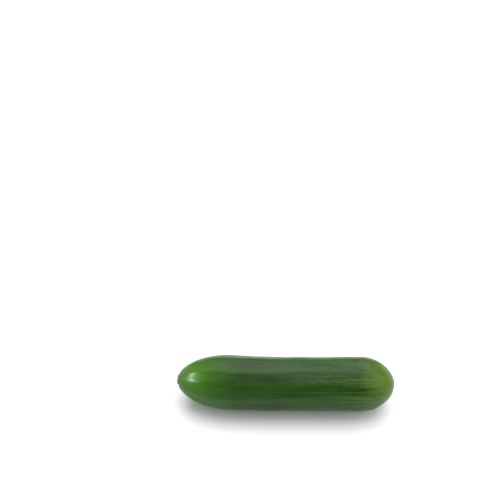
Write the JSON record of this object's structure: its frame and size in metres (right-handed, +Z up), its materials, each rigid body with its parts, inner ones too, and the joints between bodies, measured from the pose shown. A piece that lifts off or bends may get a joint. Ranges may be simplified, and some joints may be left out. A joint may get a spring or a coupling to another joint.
{
  "type": "cucumber",
  "caption": "Short smooth-skinned cucumber, whole and as picked, lying on its side, with low ribs, a cut stem stub and a flower scar.",
  "frame": {"origin": "on the surface that the cucumber rests on, below the middle of its box", "axes": "+X along the fruit from the cut stem to the blossom end, +Z up, and the stem end bends towards +Y"},
  "size_m": [0.1604, 0.042, 0.04],
  "materials": {
    "skin": "waxy green cucumber skin with a soft gloss, paler towards both ends"
  },
  "bodies": {
    "root": {"cucumber": "skin"}
  },
  "joints": []
}
